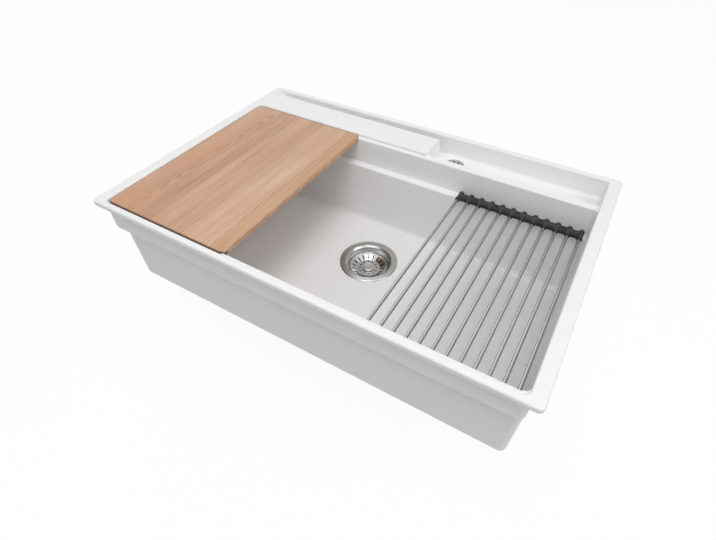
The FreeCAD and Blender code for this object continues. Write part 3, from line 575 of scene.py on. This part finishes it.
drain_y = DRAIN_Y / MM
bars = [strip(x0, x1, drain_y - 1.5, drain_y + 1.5, BAR_UNDER, BAR_TOP)
        for x0, x1 in ((-21.6, -5.5), (5.5, 21.6))]
cup = joined([turned([sheet_outline(cup_run, CUP_SHEET), neck], 128), turned([hub], 32)] + bars)
show("strainer_cup", cup, turned_steel, "sink", degrees=50.0, replaced=["strainer_body"])
print("cup profile points:", len(cup_run))

# %% [markdown]
# ## A short way to write Geometry Nodes
# What repeats, such as perforations, ribs and threads, is made by Geometry Nodes, where one size can be changed
# for all copies. One small class makes a tree with named sizes, puts a piece round the drain's axis or at
# places of its own, and hands back a plain mesh. The mesh has no instances and no modifier left, because the
# exporter drops those.

# %% Trees that make meshes
class Maker:
    """A Geometry Nodes tree with named sizes, in millimetres, that makes a plain mesh."""

    def __init__(self, name, takes_mesh=False, **sizes):
        self.tree = bpy.data.node_groups.new(name, "GeometryNodeTree")
        self.ids = {}
        if takes_mesh:
            self.tree.interface.new_socket("Mesh", in_out="INPUT", socket_type="NodeSocketGeometry")
        for key, value in sizes.items():
            kind = "NodeSocketInt" if isinstance(value, int) else "NodeSocketFloat"
            socket = self.tree.interface.new_socket(key, in_out="INPUT", socket_type=kind)
            socket.default_value = value
            self.ids[key] = socket.identifier
        self.tree.interface.new_socket("Geometry", in_out="OUTPUT", socket_type="NodeSocketGeometry")
        self.start = self.tree.nodes.new("NodeGroupInput")

    def __getitem__(self, key):
        """The wire of one named size."""
        return Wire(self.start.outputs[key])

    def node(self, kind, settings=None, sockets=None, out=0):
        """A node of this tree, by its type without the first word."""
        return Wire(add_node(self.tree, "GeometryNode" + kind, settings, sockets).outputs[out])

    def vector(self, x=0.0, y=0.0, z=0.0):
        """A place, from numbers or wires."""
        return Wire(add_node(self.tree, "ShaderNodeCombineXYZ", {}, {"X": x, "Y": y, "Z": z}).outputs[0])

    def placed(self, piece, count, place, turn=(0.0, 0.0, 0.0)):
        """Copies of a piece: place and turn are worked out from the number of each copy."""
        points = self.node("Points", {}, {"Count": count, "Position": place})
        euler = self.vector(*turn)
        rotation = Wire(add_node(self.tree, "FunctionNodeEulerToRotation", {}, {0: euler}).outputs[0])
        return self.node("InstanceOnPoints", {}, {"Points": points, "Instance": piece, "Rotation": rotation})

    def around(self, piece, count, radius, height, tilt=0.0):
        """Copies of a piece in an even ring round the drain's axis."""
        angle = self.node("InputIndex") * (2 * math.pi) / count
        place = self.vector(angle.math("COSINE", angle) * radius,
                            angle.math("SINE", angle) * radius + DRAIN_Y / MM, height)
        return self.placed(piece, count, place, (0.0, tilt, angle))

    def bar(self, outline, start, end):
        """Solid bar with an outline, between two points."""
        line = self.node("CurvePrimitiveLine", {}, {"Start": start, "End": end})
        return self.node("CurveToMesh", {}, {"Curve": line, "Profile Curve": outline, "Fill Caps": True})

    def circle(self, radius, points=16):
        """Outline of a round bar."""
        return self.node("CurvePrimitiveCircle", {}, {"Resolution": points, "Radius": radius})

    def end(self, pieces, material):
        """Join, shrink from millimetres to metres, make instances real and set the material."""
        whole = self.tree.nodes.new("GeometryNodeJoinGeometry")
        for piece in pieces[::-1]:  # a join puts its last link first
            self.tree.links.new(piece.socket, whole.inputs[0])
        real = self.node("RealizeInstances", {}, {0: Wire(whole.outputs[0])})
        small = self.node("Transform", {}, {"Geometry": real, "Scale": (MM, MM, MM)})
        done = self.node("SetMaterial", {}, {"Geometry": small, "Material": material})
        self.tree.links.new(done.socket, self.tree.nodes.new("NodeGroupOutput").inputs[0])

    def mesh(self, start_mesh=None, **sizes):
        """The plain mesh that the tree makes with these sizes."""
        carrier = bpy.data.objects.new(self.tree.name, start_mesh or bpy.data.meshes.new(self.tree.name))
        bpy.context.scene.collection.objects.link(carrier)
        modifier = carrier.modifiers.new("maker", "NODES")
        modifier.node_group = self.tree
        for key, value in sizes.items():
            modifier[self.ids[key]] = value
        graph = bpy.context.evaluated_depsgraph_get()
        made = bpy.data.meshes.new_from_object(carrier.evaluated_get(graph), depsgraph=graph)
        carrier.modifiers.remove(modifier)
        bpy.data.objects.remove(carrier)
        print(self.tree.name, "made", len(made.polygons), "faces")
        return made

# %% [markdown]
# ## Lift-out basket
# The basket is a shallow pressed dish with a rolled rim, round-ended slots in its wall and a ring of drain
# holes in its floor. Slots could be modelled in the mesh one by one, but a press punches them all alike, so one
# slot and one hole are placed round the axis and cut out of the turned dish in one step.

# %% Perforations
BASKET_SHEET, BEAD_R = 0.8, 1.2
DISH_FLOOR = BOWL_Z - 21.9
basket_run = rounded([(41.7, BOWL_Z - 13.9), (37.5, BOWL_Z - 15.4), (26.0, DISH_FLOOR), (3.3, DISH_FLOOR)], 2.4)
bead = [(41.7 + BEAD_R * math.cos(a * math.pi / 8), BOWL_Z - 14.2 + BEAD_R * math.sin(a * math.pi / 8))
        for a in range(16)]
bush = [(3.3, BOWL_Z - 22.2), (3.3, BOWL_Z - 26.6), (3.7, BOWL_Z - 26.9), (6.6, BOWL_Z - 26.9),
        (7.0, BOWL_Z - 26.5), (7.0, BOWL_Z - 22.2)]
SLOT_R, SLOT_Z, SLOT_SLOPE = 32.1, BOWL_Z - 18.6, math.atan2(6.5, 11.5)

press = Maker("perforations", True, Slots=18, Slot_Length=11.4, Slot_Width=3.1, Holes=12, Hole_Radius=1.9,
              Hole_Circle=19.5, Depth=2.5)
slot_shape = press.node("CurvePrimitiveQuadrilateral", {}, {"Width": press["Slot_Length"],
                                                            "Height": press["Slot_Width"]})
slot_shape = press.node("FilletCurve", {"mode": "POLY"}, {"Curve": slot_shape, "Count": 5,
                                                          "Radius": press["Slot_Width"] * 0.49})
down, up = press.vector(z=press["Depth"] * -1.0), press.vector(z=press["Depth"])
slots = press.around(press.bar(slot_shape, down, up), press["Slots"], SLOT_R, SLOT_Z, -SLOT_SLOPE)
holes = press.around(press.bar(press.circle(press["Hole_Radius"]), down, up), press["Holes"],
                     press["Hole_Circle"], DISH_FLOOR)
punches = press.tree.nodes.new("GeometryNodeJoinGeometry")
for punch in (slots, holes):
    press.tree.links.new(punch.socket, punches.inputs[0])
dish = press.node("Transform", {}, {"Geometry": press["Mesh"], "Scale": (1 / MM, 1 / MM, 1 / MM)})
punched = press.node("MeshBoolean", {"operation": "DIFFERENCE", "solver": "EXACT"},
                     {0: dish, 1: press.node("RealizeInstances", {}, {0: Wire(punches.outputs[0])})})
press.end([punched], basket_steel)

punched_dish = press.mesh(turned([sheet_outline(basket_run, BASKET_SHEET)], 144))
basket = joined([punched_dish, turned([bead], 144), turned([bush], 48)])
show("basket_dish", basket, basket_steel, "basket", degrees=35.0, replaced=["strainer_basket"])

# %% [markdown]
# ## Knob, post and stopper
# The knob is turned from bar: a low button with a rounded rim and a shallow dish in its top that catches the
# light. It carries a post with a washer, and the rubber stopper that shuts the drain. Stacked cylinders would
# do, but their edges would be sharp, so all are rounded outlines turned about the axis.

# %% Knob, post and stopper
KNOB_UNDER = BOWL_Z - 21.3
KNOB_TOP = KNOB_UNDER + 4.5
POST_FOOT = -266.77
COLLAR_TOP, COLLAR_UNDER = -245.77, -246.77
knob_run = rounded([(0.0, KNOB_TOP - 1.0), (5.0, KNOB_TOP - 0.9), (10.6, KNOB_TOP), (13.0, KNOB_TOP - 0.8),
                    (13.0, KNOB_UNDER + 1.3), (11.6, KNOB_UNDER), (3.2, KNOB_UNDER), (3.2, COLLAR_TOP),
                    (22.0, COLLAR_TOP), (22.0, COLLAR_UNDER), (3.2, COLLAR_UNDER), (3.2, POST_FOOT + 0.6),
                    (2.6, POST_FOOT), (0.0, POST_FOOT)], 0.8, 4)
show("knob_and_post", turned([knob_run], 96), knob_steel, "post", degrees=50.0,
     replaced=["strainer_post"])
stopper_run = rounded([(3.2, COLLAR_UNDER), (32.4, COLLAR_UNDER), (33.0, COLLAR_UNDER - 0.8),
                       (25.6, COLLAR_UNDER - 4.0), (3.2, COLLAR_UNDER - 4.0)], 0.5, 3)
show("stopper_disc", turned([stopper_run], 96), black_rubber, "post", degrees=50.0,
     replaced=["strainer_stopper"])

# %% [markdown]
# ## Moulded ends of the mat
# Each rod sits in a silicone sleeve, and a thin web joins the sleeves. The real strip has a raised ring at each
# end of every sleeve, a band where the web meets it, and a ridge along the web that stiffens it. One link could
# be modelled and copied, but the first and the last link are shorter. All of it repeats with the rods, so one
# tree with the rods' pitch and the link's two ends as inputs makes it for each link of the mat, at its front
# and at its back.

# %% Rings and ridges
ROD_X, ROD_PITCH, ROD_Z = 141.42, 22.1, -46.2
STRIP_FRONT, STRIP_BACK = -258.52, 139.02
RODS_PER_LINK = 2
SLEEVE_RINGS = ((0.04, 0.97, 0.85), (0.96, 0.97, 0.85), (0.20, 1.0, 0.75), (0.80, 1.0, 0.75))
WEB_RIDGES = ((0.0, 2.0), (0.36, 0.9), (-0.36, 0.9))
RIDGE_INSET = 5.0
mould = Maker("strip_mould", First_Rod=ROD_X, Rods=RODS_PER_LINK, Pitch=ROD_PITCH, Height=ROD_Z,
              Front=STRIP_FRONT, Back=STRIP_BACK, Sleeve_Radius=4.5, Sleeve_Length=27.0, Web_Width=17.0,
              Web_Top=3.5, Left=0.0, Right=ROD_PITCH)


def ring_across(maker, radius, thick):
    """Ring whose axis lies along Y."""
    ring = maker.node("CurveToMesh", {}, {"Curve": maker.circle(radius, 24),
                                          "Profile Curve": maker.circle(thick, 8)})
    return maker.node("Transform", {}, {"Geometry": ring, "Rotation": (math.radians(90), 0, 0)})


# Copies count front, back, front, back, so half of a copy's number is its rod's.
number = mould.node("InputIndex")
rod_number = (number / 2.0).math("FLOOR", number / 2.0)
at_back = number - rod_number * 2.0
rod_place_x = mould["First_Rod"] + rod_number * mould["Pitch"]
end_start = mould["Front"] + at_back * (mould["Back"] - mould["Front"])
details = []
for share, size, thick in SLEEVE_RINGS:
    ring = ring_across(mould, mould["Sleeve_Radius"] * size, thick)
    place = mould.vector(rod_place_x, end_start + mould["Sleeve_Length"] * share, mould["Height"])
    details.append(mould.placed(ring, mould["Rods"] * 2, place))
web_middle = mould["Front"] + number * (mould["Back"] - mould["Front"]) + mould["Sleeve_Length"] * 0.5
for share, radius in WEB_RIDGES:
    ridge = mould.bar(mould.circle(radius, 10), mould.vector(mould["Left"] + RIDGE_INSET),
                      mould.vector(mould["Right"] - RIDGE_INSET))
    place = mould.vector(0.0, web_middle + mould["Web_Width"] * share,
                         mould["Height"] + mould["Web_Top"] - 0.25)
    details.append(mould.placed(ridge, 2, place))
mould.end(details, silicone)

LINKS = sum(node.startswith("mat_link") for node in slot_of)
for link in range(LINKS):
    first = ROD_X + ROD_PITCH * RODS_PER_LINK * link
    left = first - (0 if link == 0 else ROD_PITCH / 2)
    right = first + ROD_PITCH * (1 if link == LINKS - 1 else 1.5)
    mesh = mould.mesh(First_Rod=first, Left=left, Right=right)
    name = "%02d" % (link + 1)
    show("strip_rings_" + name, mesh, silicone, "mat_" + name, degrees=50.0)

# %% [markdown]
# ## Threads
# The cup's tail and neck carry a rolled thread for the lock nut and the coupling nut. A real thread is cut or
# rolled into the wall, which would need a fine mesh all round. A spiral swept with a small ridge looks the same
# and leaves the cup alone.

# %% Threads
thread = Maker("rolled_thread", Turns=8.0, Radius=40.6, Rise=16.0, Ridge=0.62, Bottom=-243.0)
spiral = thread.node("CurveSpiral", {}, {"Resolution": 72, "Rotations": thread["Turns"],
                                         "Height": thread["Rise"], "Start Radius": thread["Radius"],
                                         "End Radius": thread["Radius"]})
ridge = thread.node("CurveToMesh", {}, {"Curve": spiral, "Profile Curve": thread.circle(thread["Ridge"], 5),
                                        "Fill Caps": True})
lifted = thread.node("Transform", {}, {"Geometry": ridge,
                                       "Translation": thread.vector(0.0, drain_y, thread["Bottom"])})
thread.end([lifted], turned_steel)
threads = joined([thread.mesh(), thread.mesh(Turns=3.0, Radius=23.8, Rise=4.6, Bottom=-260.2, Ridge=0.5)])
show("strainer_threads", threads, turned_steel, "sink", degrees=30.0)

# %% [markdown]
# ## Grips on the nuts
# Both nuts are tightened by hand, so their rims have ribs. The lock nut has many fine ones and the coupling nut
# a few strong ones. One rib is a short round bar, half sunk in the nut, and the tree sets it round the axis as
# often as each nut needs.

# %% Grips
grip = Maker("grip_ribs", Ribs=48, Radius=52.0, Rib=0.8, Bottom=-225.0, Top=-218.5)
rib = grip.bar(grip.circle(grip["Rib"], 8), grip.vector(z=grip["Bottom"]), grip.vector(z=grip["Top"]))
grip.end([grip.around(rib, grip["Ribs"], grip["Radius"], 0.0)], nut_plastic)
ribs = joined([grip.mesh(Ribs=64, Radius=45.9, Bottom=-226.4, Top=-225.4, Rib=0.7),
               grip.mesh(Ribs=8, Radius=28.7, Bottom=-279.9, Top=-261.1, Rib=0.9)])
show("nut_ribs", ribs, nut_plastic, "sink", degrees=50.0)

# %% [markdown]
# ## Barbs on the hose spigots
# The overflow hose is pushed on to two spigots, one at the tailpiece and one at the tray's elbow, and barbs
# stop it from slipping off. A barb is a short cone. The tree stacks four of them on the Z axis, and the plain
# mesh is then turned to each spigot's place, since both have the same size.

# %% Barbs
TAILPIECE_SPIGOT, ELBOW_SPIGOT = Vector((0.0, 49.0, -311.5)), Vector((75.0, 237.0, -64.0))
barb = Maker("hose_barbs", Barbs=4, Radius=10.5, Step=7.0, Start=8.0, Proud=0.8)
cone = barb.node("MeshCone", {"fill_type": "NGON"},
                 {"Vertices": 48, "Depth": 3.6, "Radius Top": barb["Radius"] - 0.1,
                  "Radius Bottom": barb["Radius"] + barb["Proud"]})
stacked = barb.vector(z=barb.node("InputIndex") * barb["Step"] + barb["Start"])
barb.end([barb.placed(cone, barb["Barbs"], stacked)], pipe_plastic)
row = barb.mesh()
to_wall, to_left = row.copy(), row.copy()
to_wall.transform(Matrix.Translation(TAILPIECE_SPIGOT * MM) @ Matrix.Rotation(math.radians(-90), 4, "X"))
to_left.transform(Matrix.Translation(ELBOW_SPIGOT * MM) @ Matrix.Rotation(math.radians(-90), 4, "Y"))
show("spigot_barbs", joined([to_wall, to_left]), pipe_plastic, "sink", degrees=30.0)

# %% [markdown]
# ## Camera
# The sink is seen from in front of its right half, from 45 degrees above and through a wide lens. Such a view
# could be found by eye, but the place, the turn and the lens were worked out from the picture's vanishing
# points, so the sink's lines fall where they do there.

# %% Camera at the photograph's angle
CAMERA_PLACE = (0.3674, -0.6425, 0.5357)
CAMERA_HEADING = 30.668
CAMERA_PITCH = 44.922
CAMERA_ROLL = -0.059
CAMERA_LENS = 23.706
camera_data = bpy.data.cameras.new("camera")
camera_data.sensor_width = 36.0
camera_data.lens = CAMERA_LENS
camera_data.clip_start = 0.01
camera = bpy.data.objects.new("camera", camera_data)
camera.location = CAMERA_PLACE
camera.rotation_euler = [math.radians(a) for a in (90 - CAMERA_PITCH, CAMERA_ROLL, CAMERA_HEADING)]
bpy.context.scene.collection.objects.link(camera)
bpy.context.scene.camera = camera
print("camera lens", camera_data.lens, "mm")

# %% [markdown]
# ## The world around the sink
# A white product shot has soft light from everywhere, which is the world's part. A bright world would also
# bleach the sink, so only the camera sees it plain white, and the rays that carry light see it dimmer. Polished
# steel needs something dark to reflect, so mirror rays see the dark cards that a studio puts round metal: white
# at the horizon, dark above it, white overhead.

# %% World
def seen_rays(tree):
    """1 for camera, mirror and glass rays, 0 for the rays that carry light."""
    camera_ray = Wire(tree.nodes.new("ShaderNodeLightPath").outputs["Is Camera Ray"])
    glossy = Wire(camera_ray.socket.node.outputs["Is Glossy Ray"])
    through = Wire(camera_ray.socket.node.outputs["Is Transmission Ray"])
    return camera_ray.math("MINIMUM", camera_ray + glossy + through, 1.0)


AMBIENT = 0.40
CARDS = ((0.0, grey(1.0)), (0.08, grey(0.55)), (0.18, grey(0.10)), (0.42, grey(0.12)), (0.60, grey(1.0)))
world = bpy.data.worlds.new("studio")
world.use_nodes = True
tree = world.node_tree
tree.nodes.clear()
seen = seen_rays(tree)
mirrored = Wire(tree.nodes.new("ShaderNodeLightPath").outputs["Is Glossy Ray"])
height = Wire(tree.nodes.new("ShaderNodeTexCoord").outputs["Generated"]).part("Z")
cards = height.colors(*CARDS)
sky = add_node(tree, "ShaderNodeBackground", {}, {"Color": (0.99, 0.995, 1.0, 1), "Strength": AMBIENT})
white = add_node(tree, "ShaderNodeBackground", {}, {"Color": mirrored.mix(grey(1.0), cards), "Strength": 1.0})
both = seen.node("MixShader", {}, {0: seen, 1: Wire(sky.outputs[0]), 2: Wire(white.outputs[0])})
tree.links.new(both.socket, tree.nodes.new("ShaderNodeOutputWorld").inputs["Surface"])
bpy.context.scene.world = world
print("world strength for light:", AMBIENT)

# %% [markdown]
# ## Floor
# The sink stands on a plain pale floor, which has to keep its soft shadow. A plain white floor would throw a
# lot of light up at the outer walls. So the floor is a middle grey for the rays that carry light, and nearly
# all white for the camera and for mirrors.

# %% Floor
FLOOR_SIZE = 24.0
FLOOR_TONE = 0.55
FLOOR_WHITE = 0.93
half = FLOOR_SIZE / 2
floor_z = model_box[0][2]
floor_mesh = bpy.data.meshes.new("floor")
corners = [(-half, -half, floor_z), (half, -half, floor_z), (half, half, floor_z), (-half, half, floor_z)]
floor_mesh.from_pydata(corners, [], [(0, 1, 2, 3)])
floor = bpy.data.objects.new("floor", floor_mesh)
bpy.context.scene.collection.objects.link(floor)
paint = bpy.data.materials.new("floor_paint")
paint.use_nodes = True
tree = paint.node_tree
shader = tree.nodes["Principled BSDF"]
shader.inputs["Roughness"].default_value = 0.9
seen = seen_rays(tree)
tree.links.new(seen.mix(grey(FLOOR_TONE), grey(1.0)).socket, shader.inputs["Base Color"])
white = add_node(tree, "ShaderNodeEmission", {}, {"Color": grey(1.0), "Strength": 1.0})
both = seen.node("MixShader", {}, {0: seen * FLOOR_WHITE, 1: Wire(shader.outputs[0]),
                                   2: Wire(white.outputs[0])})
tree.links.new(both.socket, tree.nodes["Material Output"].inputs["Surface"])
floor_mesh.materials.append(paint)
print("floor at %.1f mm" % (floor_z / MM))

# %% [markdown]
# ## Lamps
# Four soft boxes shape the sink. One over the front edge lights the rim and the deck, a large one from the
# right lights the bowl's floor and leaves the shadow under the board, and two weak ones fill the front wall and
# the inner right wall. One big lamp overhead would be simpler, but it makes walls and floor equally bright and
# the bowl flat.

# %% Lamps
def soft_lamp(name, place, target, size, energy):
    """Square soft box that points at a place."""
    lamp_data = bpy.data.lights.new(name, "AREA")
    lamp_data.size = size
    lamp_data.energy = energy
    lamp = bpy.data.objects.new(name, lamp_data)
    lamp.location = place
    lamp.rotation_euler = (Vector(target) - Vector(place)).to_track_quat("-Z", "Y").to_euler()
    bpy.context.scene.collection.objects.link(lamp)
    print("lamp:", name, energy, "W")


RIM_MIDDLE, BOWL_MIDDLE = (0, 0, 0), (0, 0, -0.1)
soft_lamp("over_front_edge", (0.3, -0.8, 2.1), RIM_MIDDLE, size=1.2, energy=22.0)
soft_lamp("from_right", (4.0, 0.1, 3.5), BOWL_MIDDLE, size=2.4, energy=76.0)
soft_lamp("from_front", (-0.3, -2.4, 1.5), BOWL_MIDDLE, size=1.4, energy=4.0)
soft_lamp("from_back_left", (-2.6, 2.6, 2.2), BOWL_MIDDLE, size=2.2, energy=20.0)
bpy.context.scene.view_settings.view_transform = "Standard"
